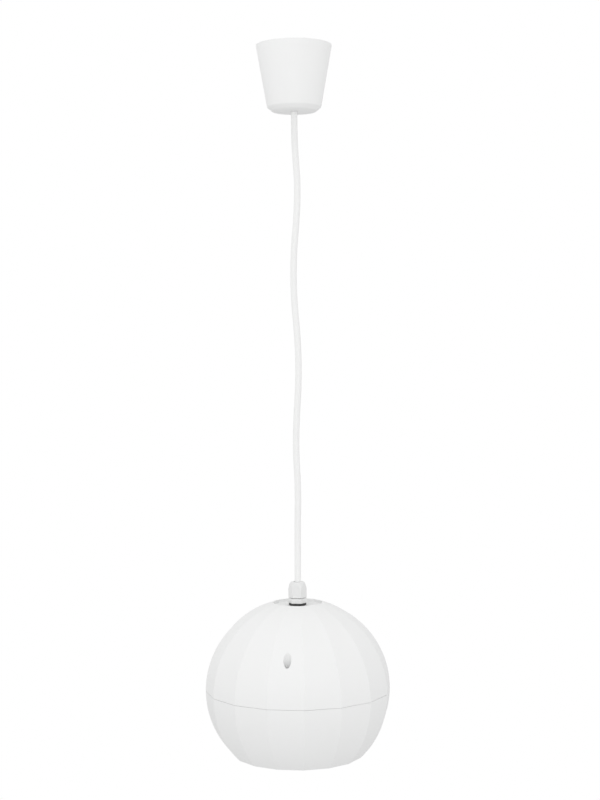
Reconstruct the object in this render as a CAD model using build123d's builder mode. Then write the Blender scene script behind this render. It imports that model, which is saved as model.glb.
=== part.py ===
"""A ball-shaped loudspeaker that hangs by its own cord from a cup on the ceiling.

Sizes are in millimetres and +Z is up. The origin is the centre of the ceiling plane, so
everything hangs below it. Heights inside the ball are measured from its seam.
"""
from math import asin, cos, degrees, pi, radians, sin, sqrt, tan
import os

from build123d import *

os.makedirs("parts", exist_ok=True)

# Flats that stand in for the rounds of the smaller pieces, which keeps the files light
cup_sides = 32
turned_sides = 20
post_sides = 12
screw_sides = 8

# Ball housing
facet_count = 16
ball_flats = 182.0
seam_z = -643.0
shell_wall = 2.5
liner_chords = 5
seam_gap = 0.3
seam_groove = 0.8
lip_wall = 1.1
lip_height = 3.0
lip_clearance = 0.2
recess_radius = 24.4
recess_depth = 2.8
cut_ratio = 5 / 7
skin_trim = 0.4

# Screws that join the two shells, in deep wells
shell_screw_count = 2
shell_screw_inset = 12.0
well_radius = 3.8
well_wall = 1.9
well_floor = 2.6
post_radius = 4.5
post_top = 4.0
rib_thickness = 2.0

# Grille well and baffle in the lower shell
bottom_ring_width = 4.4
grille_well_depth = 10.0
collar_wall = 2.5
baffle_thickness = 3.0
baffle_boss_radius = 3.2
baffle_boss_height = 5.0

# Grille
grille_sheet = 0.8
grille_inset = 0.4
grille_fit = 0.15
grille_hole_flats = 11.8
grille_hole_pitch = 14.2
grille_border = 5.3

# Cord and its gland
cord_radius = 3.25
core_radius = 1.1
core_offset = 1.6
cord_squeeze = 0.1
cord_tail = 2.2
gland_flats = 16.0
gland_thread_radius = 6.0
gland_hole_clearance = 0.15
gland_bore_clearance = 0.35
gland_hex_height = 4.8
gland_stub_length = 9.5
collet_height = 9.5
nut_gap = 0.7
nut_height = 15.6
nut_hex_height = 10.0
nut_crown_radius = 7.85
nut_crown_draft = 0.5
nut_top_bevel = 1.1
nut_crown_wall = 2.6
nut_thread_clearance = 0.1
nut_hole_clearance = 0.4
seal_radius = 5.6
seal_clearance = 0.3
gland_washer_radius = 8.7
gland_washer_height = 2.4
locknut_flats = 17.0
locknut_height = 4.5

# Ceiling cup
cup_top_radius = 37.7
cup_bottom_radius = 28.0
cup_height = 65.5
cup_wall = 2.2
cup_edge_height = 5.0
cup_edge_width = 5.5
cup_hole_clearance = 0.5

# Ceiling strap
strap_length = 66.0
strap_sheet = 1.5
strap_back = 11.2
ear_width = 10.8
ear_drop = 9.0
slot_spacing = 40.0
slot_length = 9.0
slot_width = 4.8
tongue_width = 21.0
tongue_drop = 44.0
wire_window = (14.0, 8.0)

# Cord saddle
saddle_wall = 1.7
saddle_ear = 1.5
saddle_height = 10.0
saddle_low = -42.0
saddle_screw_spacing = 15.4

# Terminal block
block_size = (18.0, 10.0, 13.0)
block_low = -18.0
pole_spacing = 9.0
insert_width = 5.0
insert_bore = 3.2
insert_length = 11.0
clamp_screw_radius = 1.6
clamp_screw_sunk = 0.8

# Screws
thread_clearance = 0.05
hole_clearance = 0.2
head_ratio = 1.8
head_height = 2.0
shell_screw_radius = 1.9
shell_screw_length = 19.0
driver_screw_radius = 1.4
driver_screw_length = 9.5
small_screw_radius = 1.4
block_screw_radius = 1.15
screw_reach = 1.7

# Driver, facing down
gasket_thickness = 0.8
basket_sheet = 1.2
flange_clearance = 6.8
flange_width = 8.9
driver_screw_inset = 2.7
driver_screw_count = 4
basket_clearance = 1.4
basket_depth = 17.8
basket_ring_radius = 32.0
basket_mouth = 25.5
spoke_count = 4
spoke_width = 12.0
gasket_width = 1.5
top_plate_radius = 27.5
top_plate_thickness = 5.0
magnet_radius = 31.0
magnet_bore = 14.0
magnet_thickness = 11.0
back_plate_radius = 28.5
back_plate_thickness = 5.0
pole_radius = 8.6
gap_radius = 10.4

# Moving assembly
coil_former_radius = 9.0
coil_former_wall = 0.4
winding_wall = 0.45
winding_height = 9.0
cone_lip = 2.5
cone_thickness = 0.7
cone_depth = 13.7
dust_cap_radius = 13.0
dust_cap_crown = 6.5
dust_cap_rise = 4.0
dust_cap_thickness = 0.5
surround_width = 4.1
surround_lip = 2.2
surround_thickness = 0.6
surround_drop = 2.5
soft_clearance = 0.3
spider_inset = 1.2
spider_drop = 1.8
spider_thickness = 0.5

# Tags and wires at the driver
tag_strip_size = (1.2, 12.0, 4.6)
tag_size = (6.5, 3.0, 0.8)
tag_spacing = 7.0
tag_strip_gap = 0.3
lead_radius = 0.8

# Line transformer
core_size = (41.0, 16.0, 34.0)
core_window = (7.0, 20.0)
centre_leg = 13.0
coil_overhang = 6.5
coil_clearance = 0.3
transformer_y = 30.0
boss_length = 17.0
clamp_sheet = 1.0
clamp_ear = 10.0
transformer_screw_radius = 1.5
transformer_screw_length = 9.0
boss_radius = 3.5
input_inset = 3.0

# Wadding pads
pad_depth = 24.5
pad_width = 28.0
pad_count = 6
pad_arc = 90.0

outer_radius = ball_flats / 2
inner_radius = outer_radius - shell_wall
shell_screw_circle = outer_radius - shell_screw_inset
ball_cut = outer_radius * cut_ratio
grille_well_radius = sqrt(outer_radius**2 - ball_cut**2) - bottom_ring_width
grille_field_radius = grille_well_radius - grille_border
flange_radius = grille_well_radius - flange_clearance
flange_mouth = flange_radius - flange_width
driver_screw_circle = flange_radius - driver_screw_inset
cone_radius = flange_mouth - surround_width
recess_floor = sqrt(outer_radius**2 - recess_radius**2) - recess_depth
recess_under = recess_floor - shell_wall
washer_top = recess_floor + gland_washer_height
nut_low = washer_top + gland_hex_height + nut_gap
nut_top = nut_low + nut_height
nut_bore_top = nut_top - nut_crown_wall
baffle_under = grille_well_depth - ball_cut
flange_top = baffle_under - gasket_thickness
flange_under = flange_top - basket_sheet
ring_top = flange_top + basket_depth
ring_under = ring_top - basket_sheet
top_plate_top = ring_top + top_plate_thickness
magnet_top = top_plate_top + magnet_thickness
winding_middle = ring_top + top_plate_thickness / 2
surround_top = flange_under - soft_clearance
cone_face = surround_top - surround_drop + cone_thickness
cone_neck_radius = coil_former_radius + coil_former_wall
well_bottom = post_top + well_floor
tongue_face = cord_radius + thread_clearance
transformer_screw_spacing = core_size[0] + 2 * clamp_sheet + clamp_ear
boss_distance = sqrt((transformer_screw_spacing / 2) ** 2 + transformer_y**2)
transformer_top = sqrt(inner_radius**2 - boss_distance**2) - boss_length

ball_section = Plane(origin=(0, 0, seam_z), x_dir=(1, 0, 0), z_dir=(0, -1, 0))


def level(height):
    """The horizontal plane at a height above the seam."""
    return Plane.XY.offset(seam_z + height)


def front(depth, height):
    """The upright plane at a depth that faces -Y, with its origin at a height."""
    return Plane(origin=(0, depth, height), x_dir=(1, 0, 0), z_dir=(0, -1, 0))


def underside(height):
    """The horizontal plane at a height above the seam that faces down."""
    return Plane(origin=(0, 0, seam_z + height), x_dir=(1, 0, 0), z_dir=(0, 0, -1))


def band(inner, outer, low, high):
    """A rectangle of the current section, between two radii and two heights."""
    with Locations(((inner + outer) / 2, (low + high) / 2)):
        Rectangle(outer - inner, high - low)


def circle_arc(radius, start_height, end_height):
    """The stretch of that circle between two heights."""
    start = degrees(asin(start_height / radius))
    end = degrees(asin(end_height / radius))
    return CenterArc((0, 0), radius, start, end - start)


def height_at(radius, distance):
    """The height at which a circle about the seam's centre reaches a distance from the axis."""
    return sqrt(radius**2 - distance**2)


def chords(radius, start_height, end_height, count):
    """Points along that stretch of the circle, for a wall that nobody sees."""
    start, end = asin(start_height / radius), asin(end_height / radius)
    turns = [start + (end - start) * step / count for step in range(count + 1)]
    return [(radius * cos(turn), radius * sin(turn)) for turn in turns]


def faceted(section, count):
    """One section made into flat-faced slices, mitred to each other all round the Z axis."""
    half_width = outer_radius * tan(pi / count)
    with BuildPart() as wedge:
        extrude(section, amount=half_width, both=True)
        with BuildSketch(level(0)):
            Polygon((0, 0), (outer_radius, -half_width), (outer_radius, half_width), align=None)
        extrude(amount=-seam_z, both=True, mode=Mode.INTERSECT)
    with BuildPart() as ring:
        with PolarLocations(0, count):
            add(wedge.part)
    return ring


def round_hole(radius, clearance=0):
    """The outline of a small screw's shank or of its hole."""
    RegularPolygon(radius + clearance, screw_sides)


def screws(plane, places, radius, length):
    """Pan-head screws on a plane: the heads stand on it and the shanks run back through it."""
    with BuildPart() as group:
        with BuildSketch(plane):
            with Locations(*places):
                round_hole(radius)
        extrude(amount=-length)
        with BuildSketch(plane):
            with Locations(*places):
                RegularPolygon(radius * head_ratio, screw_sides)
        extrude(amount=head_height)
    return group


def bend_radii(points):
    """The largest tangent arcs that the runs beside each corner allow."""
    spots = [Vector(*point) for point in points]
    runs = [after - before for before, after in zip(spots, spots[1:])]
    radii = []
    for first, second in zip(runs, runs[1:]):
        half_turn = radians(first.get_angle(second) / 2)
        radii.append(0.45 * min(first.length, second.length) / tan(half_turn))
    return radii


def wires(routes, radius):
    """Stiff single wires, each in straight runs that meet at mitres."""
    with BuildPart() as group:
        for points in routes:
            with BuildLine() as route:
                Polyline(*points)
            with BuildSketch(Plane(origin=route.line @ 0, z_dir=route.line % 0)):
                RegularPolygon(radius, screw_sides)
            sweep(transition=Transition.RIGHT)
    return group


# Upper shell: faceted wall, rebate for the lip, recess for the gland
rebate_top = lip_height + lip_clearance
upper_liner = chords(inner_radius, rebate_top, recess_under, liner_chords)
with BuildSketch(ball_section) as upper_section:
    with BuildLine():
        rebate_wall = inner_radius + lip_wall + lip_clearance
        skin = circle_arc(outer_radius, 0, height_at(outer_radius, recess_radius))
        Polyline(
            skin @ 1,
            (recess_radius, recess_floor),
            (gland_thread_radius, recess_floor),
            (gland_thread_radius, recess_under),
            *reversed(upper_liner),
            (rebate_wall, rebate_top),
            (rebate_wall, 0),
            skin @ 0,
        )
    make_face()

with BuildPart() as trim_ball:
    with Locations((0, 0, seam_z)):
        Sphere(outer_radius - skin_trim)

with BuildPart() as upper_inside:
    with BuildSketch(level(post_top)):
        with PolarLocations(shell_screw_circle, shell_screw_count, start_angle=90):
            RegularPolygon(well_radius + well_wall, post_sides)
        with PolarLocations((shell_screw_circle + outer_radius) / 2, shell_screw_count, start_angle=90):
            Rectangle(outer_radius - shell_screw_circle, rib_thickness)
    extrude(amount=outer_radius)
    with BuildSketch(level(transformer_top)):
        with Locations((0, transformer_y)):
            with GridLocations(transformer_screw_spacing, 0, 2, 1):
                RegularPolygon(boss_radius, post_sides)
    extrude(amount=outer_radius - transformer_top)
    add(trim_ball.part, mode=Mode.INTERSECT)

upper_wall = faceted(upper_section.sketch, facet_count)
with BuildPart() as upper_shell:
    add(upper_wall.part)
    add(upper_inside.part)
    with BuildSketch(level(recess_under)):
        Circle(gland_thread_radius + gland_hole_clearance)
    extrude(amount=outer_radius, mode=Mode.SUBTRACT)
    with BuildSketch(level(well_bottom)):
        with PolarLocations(shell_screw_circle, shell_screw_count, start_angle=90):
            Circle(well_radius)
    extrude(amount=outer_radius, mode=Mode.SUBTRACT)
    with BuildSketch(level(post_top)):
        with PolarLocations(shell_screw_circle, shell_screw_count, start_angle=90):
            round_hole(shell_screw_radius, hole_clearance)
    extrude(amount=well_floor, mode=Mode.SUBTRACT)
    with BuildSketch(level(transformer_top)):
        with Locations((0, transformer_y)):
            with GridLocations(transformer_screw_spacing, 0, 2, 1):
                round_hole(transformer_screw_radius, thread_clearance)
    extrude(amount=transformer_screw_length + thread_clearance, mode=Mode.SUBTRACT)
upper_shell.part.label = "upper_shell"

# Lower shell: faceted wall with its lip, bottom ring, grille well and baffle
ring_stop = grille_well_radius + collar_wall / 3
with BuildSketch(ball_section) as lower_section:
    with BuildLine():
        skin = circle_arc(outer_radius, -seam_gap, -ball_cut)
        floor = shell_wall - ball_cut
        Polyline(
            skin @ 1,
            (ring_stop, -ball_cut),
            (ring_stop, floor),
            *chords(inner_radius, floor, 0, liner_chords),
            (inner_radius, lip_height),
            (inner_radius + lip_wall, lip_height),
            (inner_radius + lip_wall, 0),
            (outer_radius - seam_groove, 0),
            (outer_radius - seam_groove, -seam_gap),
            skin @ 0,
        )
    make_face()

with BuildPart() as lower_posts:
    with BuildSketch(level(-ball_cut)):
        with PolarLocations(shell_screw_circle, shell_screw_count, start_angle=90):
            RegularPolygon(post_radius, post_sides)
    extrude(amount=ball_cut + post_top)
    with BuildSketch(level(-ball_cut)):
        with PolarLocations((shell_screw_circle + outer_radius) / 2, shell_screw_count, start_angle=90):
            Rectangle(outer_radius - shell_screw_circle, rib_thickness)
    extrude(amount=ball_cut - lip_height)
    add(trim_ball.part, mode=Mode.INTERSECT)

baffle_top = baffle_under + baffle_thickness
baffle_mouth = flange_mouth + basket_sheet + basket_clearance
with BuildPart() as baffle:
    with BuildSketch(level(-ball_cut)):
        RegularPolygon(grille_well_radius + collar_wall, cup_sides)
    extrude(amount=baffle_top + ball_cut)
    with BuildSketch(level(-ball_cut)):
        Circle(grille_well_radius)
    extrude(amount=grille_well_depth, mode=Mode.SUBTRACT)
    with BuildSketch(level(baffle_under)):
        RegularPolygon(baffle_mouth, turned_sides, major_radius=False)
    extrude(amount=baffle_thickness, mode=Mode.SUBTRACT)

lower_wall = faceted(lower_section.sketch, facet_count)
with BuildPart() as lower_shell:
    add(lower_wall.part)
    add(lower_posts.part)
    add(baffle.part)
    with BuildSketch(level(baffle_top)):
        with PolarLocations(driver_screw_circle, driver_screw_count, start_angle=45):
            RegularPolygon(baffle_boss_radius, post_sides)
    extrude(amount=baffle_boss_height)
    with BuildSketch(level(baffle_under)):
        with PolarLocations(driver_screw_circle, driver_screw_count, start_angle=45):
            round_hole(driver_screw_radius, thread_clearance)
    extrude(amount=driver_screw_length, mode=Mode.SUBTRACT)
    with BuildSketch(level(post_top)):
        with PolarLocations(shell_screw_circle, shell_screw_count, start_angle=90):
            round_hole(shell_screw_radius, thread_clearance)
    extrude(amount=-shell_screw_length, mode=Mode.SUBTRACT)
lower_shell.part.label = "lower_shell"

well_places = PolarLocations(shell_screw_circle, shell_screw_count, start_angle=90).local_locations
shell_screws = screws(level(well_bottom), well_places, shell_screw_radius, shell_screw_length)
shell_screws.part.label = "shell_screws"

# Grille: a shallow pan of perforated sheet, its rim up against the baffle
with BuildPart() as grille:
    rim = grille_well_radius - grille_fit
    face_low = grille_inset - ball_cut
    with BuildSketch(level(face_low)):
        RegularPolygon(rim, cup_sides)
    extrude(amount=baffle_under - face_low)
    with BuildSketch(level(baffle_under)):
        RegularPolygon(rim - grille_sheet, cup_sides)
    extrude(amount=grille_sheet + face_low - baffle_under, mode=Mode.SUBTRACT)
    rows = 2 * int(grille_field_radius / grille_hole_pitch) + 3
    reach = grille_field_radius - grille_hole_flats / 2
    grid = HexLocations(grille_hole_pitch / 2, rows, rows).local_locations
    with BuildSketch(level(face_low)):
        with Locations(*[spot for spot in grid if spot.position.length < reach]):
            RegularPolygon(grille_hole_flats / 2, 6, major_radius=False, rotation=30)
    extrude(amount=grille_sheet, mode=Mode.SUBTRACT)
grille.part.label = "grille"

# Cable gland on top of the ball
with BuildSketch(ball_section) as washer_section:
    band(gland_thread_radius + gland_hole_clearance, gland_washer_radius, recess_floor, washer_top)
gland_washer = faceted(washer_section.sketch, turned_sides)
gland_washer.part.label = "gland_washer"

with BuildPart() as gland_body:
    with BuildSketch(level(washer_top)):
        RegularPolygon(gland_flats / 2, 6, major_radius=False)
    extrude(amount=gland_hex_height)
    with BuildSketch(level(recess_floor - gland_stub_length)):
        RegularPolygon(gland_thread_radius, turned_sides)
    body_length = gland_stub_length + gland_washer_height + gland_hex_height + collet_height
    extrude(amount=body_length)
    with BuildSketch(level(recess_floor - gland_stub_length)):
        RegularPolygon(cord_radius + gland_bore_clearance, turned_sides)
    extrude(amount=body_length, mode=Mode.SUBTRACT)
gland_body.part.label = "gland_body"

with BuildSketch(ball_section) as crown_section:
    Polygon(
        (0, nut_low),
        (nut_crown_radius, nut_low),
        (nut_crown_radius, nut_low + nut_hex_height),
        (nut_crown_radius - nut_crown_draft, nut_top - nut_top_bevel),
        (nut_crown_radius - nut_crown_draft - nut_top_bevel, nut_top),
        (0, nut_top),
        align=None,
    )
nut_crown = faceted(crown_section.sketch, turned_sides)
with BuildPart() as gland_nut:
    with BuildSketch(level(nut_low)):
        RegularPolygon(gland_flats / 2, 6, major_radius=False)
    extrude(amount=nut_hex_height)
    add(nut_crown.part)
    with BuildSketch(level(nut_low)):
        RegularPolygon(gland_thread_radius + nut_thread_clearance, turned_sides)
    extrude(amount=nut_height - nut_crown_wall, mode=Mode.SUBTRACT)
    with BuildSketch(level(nut_bore_top)):
        RegularPolygon(cord_radius + nut_hole_clearance, turned_sides)
    extrude(amount=nut_crown_wall, mode=Mode.SUBTRACT)
gland_nut.part.label = "gland_nut"

with BuildSketch(ball_section) as seal_section:
    collet_top = nut_low - nut_gap + collet_height
    band(cord_radius - cord_squeeze, seal_radius, collet_top, nut_bore_top - seal_clearance)
gland_seal = faceted(seal_section.sketch, turned_sides)
gland_seal.part.label = "gland_seal"

with BuildPart() as gland_locknut:
    with BuildSketch(level(recess_under)):
        RegularPolygon(locknut_flats / 2, 6, major_radius=False)
        RegularPolygon(gland_thread_radius + thread_clearance, turned_sides, mode=Mode.SUBTRACT)
    extrude(amount=-locknut_height)
gland_locknut.part.label = "gland_locknut"

# Ceiling cup, open at the top
cup_hole_radius = cord_radius + cup_hole_clearance
cup_floor_radius = cup_bottom_radius - cup_edge_width
cup_draft = (cup_top_radius - cup_bottom_radius) / (cup_height - cup_edge_height)
cup_side_wall = cup_wall * sqrt(1 + cup_draft**2)
with BuildSketch(Plane.XZ) as cup_section:
    Polygon(
        (0, -cup_height),
        (cup_floor_radius, -cup_height),
        (cup_floor_radius + cup_edge_width * 2 / 3, cup_edge_height / 4 - cup_height),
        (cup_bottom_radius, cup_edge_height - cup_height),
        (cup_top_radius, 0),
        (cup_top_radius - cup_side_wall, 0),
        (cup_bottom_radius - cup_side_wall, cup_edge_height - cup_height),
        (cup_floor_radius, cup_wall - cup_height),
        (0, cup_wall - cup_height),
        align=None,
    )
cup_body = faceted(cup_section.sketch, cup_sides)
with BuildPart() as ceiling_cup:
    add(cup_body.part)
    with BuildSketch(Plane.XY.offset(-cup_height)):
        RegularPolygon(cup_hole_radius, turned_sides)
    extrude(amount=cup_wall, mode=Mode.SUBTRACT)
ceiling_cup.part.label = "ceiling_cup"

# Ceiling strap: slots for the ceiling screws, spring ears for the cup, tongue for the cord
with BuildPart() as ceiling_strap:
    strap_front = tongue_face + strap_sheet
    with BuildSketch(Plane.XY):
        with Locations((0, (strap_front - strap_back) / 2)):
            Rectangle(strap_length, strap_front + strap_back)
        with GridLocations(slot_spacing, 0, 2, 1):
            SlotOverall(slot_length, slot_width, mode=Mode.SUBTRACT)
        with Locations((0, tongue_face - strap_back / 2)):
            Rectangle(*wire_window, mode=Mode.SUBTRACT)
    extrude(amount=-strap_sheet)
    with BuildSketch(Plane.XY):
        with Locations((0, strap_front - ear_width / 2)):
            with GridLocations(strap_length - strap_sheet, 0, 2, 1):
                Rectangle(strap_sheet, ear_width)
    extrude(amount=-ear_drop)
    with BuildSketch(Plane.XY):
        with Locations((0, tongue_face + strap_sheet / 2)):
            Rectangle(tongue_width, strap_sheet)
    extrude(amount=-tongue_drop)
    with BuildSketch(front(tongue_face, saddle_low + saddle_height / 2)):
        with GridLocations(saddle_screw_spacing, 0, 2, 1):
            round_hole(small_screw_radius, thread_clearance)
    extrude(amount=-strap_sheet, mode=Mode.SUBTRACT)
    with BuildSketch(front(tongue_face, block_low + block_size[2] / 2)):
        round_hole(block_screw_radius, thread_clearance)
    extrude(amount=-strap_sheet, mode=Mode.SUBTRACT)
ceiling_strap.part.label = "ceiling_strap"

# Saddle that clamps the cord to the tongue
with BuildPart() as cord_saddle:
    grip = cord_radius - cord_squeeze
    with BuildSketch(Plane.XY.offset(saddle_low)):
        with Locations((0, tongue_face - saddle_ear / 2)):
            Rectangle(tongue_width, saddle_ear)
        with Locations((0, tongue_face / 2)):
            Rectangle(2 * (cord_radius + saddle_wall), tongue_face)
        RegularPolygon(cord_radius + saddle_wall, turned_sides)
        with Locations((0, tongue_face + saddle_wall)):
            Rectangle(tongue_width, 2 * saddle_wall, mode=Mode.SUBTRACT)
        with Locations((0, tongue_face / 2)):
            Rectangle(2 * grip, tongue_face, mode=Mode.SUBTRACT)
        RegularPolygon(grip, turned_sides, mode=Mode.SUBTRACT)
    extrude(amount=saddle_height)
    with BuildSketch(front(tongue_face - saddle_ear, saddle_low + saddle_height / 2)):
        with GridLocations(saddle_screw_spacing, 0, 2, 1):
            round_hole(small_screw_radius, hole_clearance)
    extrude(amount=-saddle_ear, mode=Mode.SUBTRACT)
cord_saddle.part.label = "cord_saddle"

saddle_screws = screws(
    front(tongue_face - saddle_ear, saddle_low + saddle_height / 2),
    GridLocations(saddle_screw_spacing, 0, 2, 1).local_locations,
    small_screw_radius,
    saddle_ear + strap_sheet + screw_reach,
)
saddle_screws.part.label = "saddle_screws"

# Two-pole terminal block on the tongue
pole_places = [(side * pole_spacing / 2, 0) for side in (-1, 1)]
block_middle = block_low + block_size[2] / 2
block_front = tongue_face - block_size[1]
with BuildPart() as terminal_block:
    with BuildSketch(Plane.XY.offset(block_low)):
        with Locations((0, tongue_face - block_size[1] / 2)):
            Rectangle(*block_size[:2])
        with Locations(*pole_places):
            Rectangle(insert_width + hole_clearance, insert_width + hole_clearance, mode=Mode.SUBTRACT)
    extrude(amount=block_size[2])
    with BuildSketch(front(block_front, block_middle)):
        with Locations(*pole_places):
            round_hole(clamp_screw_radius, hole_clearance)
    extrude(amount=block_front, mode=Mode.SUBTRACT)
    with BuildSketch(front(block_front, block_middle)):
        round_hole(block_screw_radius, hole_clearance)
    extrude(amount=-block_size[1], mode=Mode.SUBTRACT)
terminal_block.part.label = "terminal_block"

with BuildPart() as terminal_inserts:
    with BuildSketch(Plane.XY.offset(block_middle - insert_length / 2)):
        with Locations(*pole_places):
            Rectangle(insert_width, insert_width)
            Rectangle(insert_bore, insert_bore, mode=Mode.SUBTRACT)
    extrude(amount=insert_length)
    with BuildSketch(front(block_front, block_middle)):
        with Locations(*pole_places):
            round_hole(clamp_screw_radius, thread_clearance)
    extrude(amount=block_front, mode=Mode.SUBTRACT)
terminal_inserts.part.label = "terminal_inserts"

with BuildPart() as terminal_screws:
    with BuildSketch(front(block_front + clamp_screw_sunk, block_middle)):
        with Locations(*pole_places):
            round_hole(clamp_screw_radius)
    extrude(amount=block_front + clamp_screw_sunk + core_radius)
terminal_screws.part.label = "terminal_screws"

block_screw = screws(
    front(block_front, block_middle),
    [(0, 0)],
    block_screw_radius,
    block_size[1] + strap_sheet,
)
block_screw.part.label = "block_screw"

# Driver, fixed pieces
with BuildPart() as spoke:
    with BuildSketch(ball_section):
        Polygon(
            (basket_ring_radius - basket_sheet, ring_under),
            (basket_ring_radius, ring_top),
            (flange_mouth + basket_sheet, flange_top),
            (flange_mouth, flange_under),
            align=None,
        )
    extrude(amount=spoke_width / 2, both=True)

with BuildSketch(ball_section) as gasket_section:
    band(baffle_mouth, baffle_mouth + gasket_width, flange_top, baffle_under)
driver_gasket = faceted(gasket_section.sketch, turned_sides)
driver_gasket.part.label = "driver_gasket"

with BuildSketch(ball_section) as basket_section:
    band(flange_mouth, flange_radius, flange_under, flange_top)
    band(basket_mouth, basket_ring_radius, ring_under, ring_top)
basket_rings = faceted(basket_section.sketch, turned_sides)
with BuildPart() as driver_basket:
    add(basket_rings.part)
    with BuildSketch(level(flange_under)):
        with PolarLocations(driver_screw_circle, driver_screw_count, start_angle=45):
            round_hole(driver_screw_radius, hole_clearance)
    extrude(amount=basket_sheet, mode=Mode.SUBTRACT)
    with PolarLocations(0, spoke_count):
        add(spoke.part)
driver_basket.part.label = "driver_basket"

driver_screws = screws(
    underside(flange_under),
    PolarLocations(driver_screw_circle, driver_screw_count, start_angle=45).local_locations,
    driver_screw_radius,
    driver_screw_length,
)
driver_screws.part.label = "driver_screws"

with BuildSketch(ball_section) as top_plate_section:
    band(gap_radius, top_plate_radius, ring_top, top_plate_top)
top_plate = faceted(top_plate_section.sketch, turned_sides)
top_plate.part.label = "top_plate"

with BuildSketch(ball_section) as magnet_section:
    band(magnet_bore, magnet_radius, top_plate_top, magnet_top)
magnet = faceted(magnet_section.sketch, turned_sides)
magnet.part.label = "magnet"

with BuildSketch(ball_section) as yoke_section:
    band(0, back_plate_radius, magnet_top, magnet_top + back_plate_thickness)
    band(0, pole_radius, ring_top, magnet_top)
pole_yoke = faceted(yoke_section.sketch, turned_sides)
pole_yoke.part.label = "pole_yoke"

with BuildPart() as tag_strip:
    with Locations((top_plate_radius + tag_strip_gap, 0, seam_z + ring_top)):
        Box(*tag_strip_size, align=(Align.MIN, Align.CENTER, Align.MIN))
tag_strip.part.label = "tag_strip"

tag_x = top_plate_radius + tag_strip_gap + tag_strip_size[0]
tag_height = ring_top + tag_strip_size[2] - tag_size[2]
with BuildPart() as solder_tags:
    with Locations(*[(tag_x, side * tag_spacing / 2, seam_z + tag_height) for side in (-1, 1)]):
        Box(*tag_size, align=(Align.MIN, Align.CENTER, Align.MAX))
solder_tags.part.label = "solder_tags"

# Driver, moving assembly and its two flexible rings
with BuildSketch(ball_section) as coil_section:
    winding_top = winding_middle + winding_height / 2
    cone_neck = cone_face + cone_depth
    band(coil_former_radius, cone_neck_radius, cone_neck - 2 * cone_thickness, winding_top)
    band(cone_neck_radius, cone_neck_radius + winding_wall, winding_top - winding_height, winding_top)
voice_coil = faceted(coil_section.sketch, turned_sides)
voice_coil.part.label = "voice_coil"

lip_start = cone_radius - cone_lip
with BuildSketch(ball_section) as cone_section:
    Polygon(
        (cone_neck_radius, cone_neck),
        (lip_start, cone_face),
        (cone_radius, cone_face),
        (cone_radius, cone_face - cone_thickness),
        (lip_start, cone_face - cone_thickness),
        (cone_neck_radius, cone_neck - cone_thickness),
        align=None,
    )
cone = faceted(cone_section.sketch, turned_sides)
cone.part.label = "cone"

cone_slope = cone_depth / (lip_start - cone_neck_radius)
cap_seat = cone_neck - cone_thickness - cone_slope * (dust_cap_radius - cone_neck_radius)
cap_low = cap_seat - dust_cap_rise
with BuildSketch(ball_section) as cap_section:
    Polygon(
        (dust_cap_radius, cap_seat),
        (dust_cap_crown, cap_low),
        (0, cap_low),
        (0, cap_low + dust_cap_thickness),
        (dust_cap_crown - dust_cap_thickness / 2, cap_low + dust_cap_thickness),
        (dust_cap_radius - dust_cap_thickness, cap_seat),
        align=None,
    )
dust_cap = faceted(cap_section.sketch, turned_sides)
dust_cap.part.label = "dust_cap"

surround_outer = flange_mouth + surround_lip
surround_low = surround_top - surround_drop
with BuildSketch(ball_section) as surround_section:
    Polygon(
        (lip_start, surround_low),
        (cone_radius, surround_low),
        (flange_mouth, surround_top),
        (surround_outer, surround_top),
        (surround_outer, surround_top - surround_thickness),
        (flange_mouth, surround_top - surround_thickness),
        (cone_radius, surround_low - surround_thickness),
        (lip_start, surround_low - surround_thickness),
        align=None,
    )
surround = faceted(surround_section.sketch, turned_sides)
surround.part.label = "surround"

spider_outer = basket_ring_radius - spider_inset
spider_top = ring_under - soft_clearance
with BuildSketch(ball_section) as spider_section:
    Polygon(
        (cone_neck_radius, spider_top - spider_drop),
        (spider_outer, spider_top),
        (spider_outer, spider_top - spider_thickness),
        (cone_neck_radius, spider_top - spider_drop - spider_thickness),
        align=None,
    )
spider = faceted(spider_section.sketch, turned_sides)
spider.part.label = "spider"

# Line transformer, hung from two bosses under the upper shell
core_middle = transformer_top - core_size[2] / 2
transformer_plane = front(transformer_y, seam_z + core_middle)
window_middle_x = (centre_leg + core_window[0]) / 2
with BuildPart() as transformer_core:
    with BuildSketch(transformer_plane):
        Rectangle(core_size[0], core_size[2])
        with GridLocations(2 * window_middle_x, 0, 2, 1):
            Rectangle(*core_window, mode=Mode.SUBTRACT)
    extrude(amount=core_size[1] / 2, both=True)
transformer_core.part.label = "transformer_core"

with BuildPart() as transformer_coil:
    coil_width = centre_leg + 2 * (core_window[0] - coil_clearance)
    coil_depth = core_size[1] + 2 * coil_overhang
    with BuildSketch(level(core_middle)):
        with Locations((0, transformer_y)):
            Rectangle(coil_width, coil_depth)
            Rectangle(centre_leg + coil_clearance, core_size[1] + coil_clearance, mode=Mode.SUBTRACT)
    extrude(amount=core_window[1] / 2 - coil_clearance, both=True)
transformer_coil.part.label = "transformer_coil"

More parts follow.
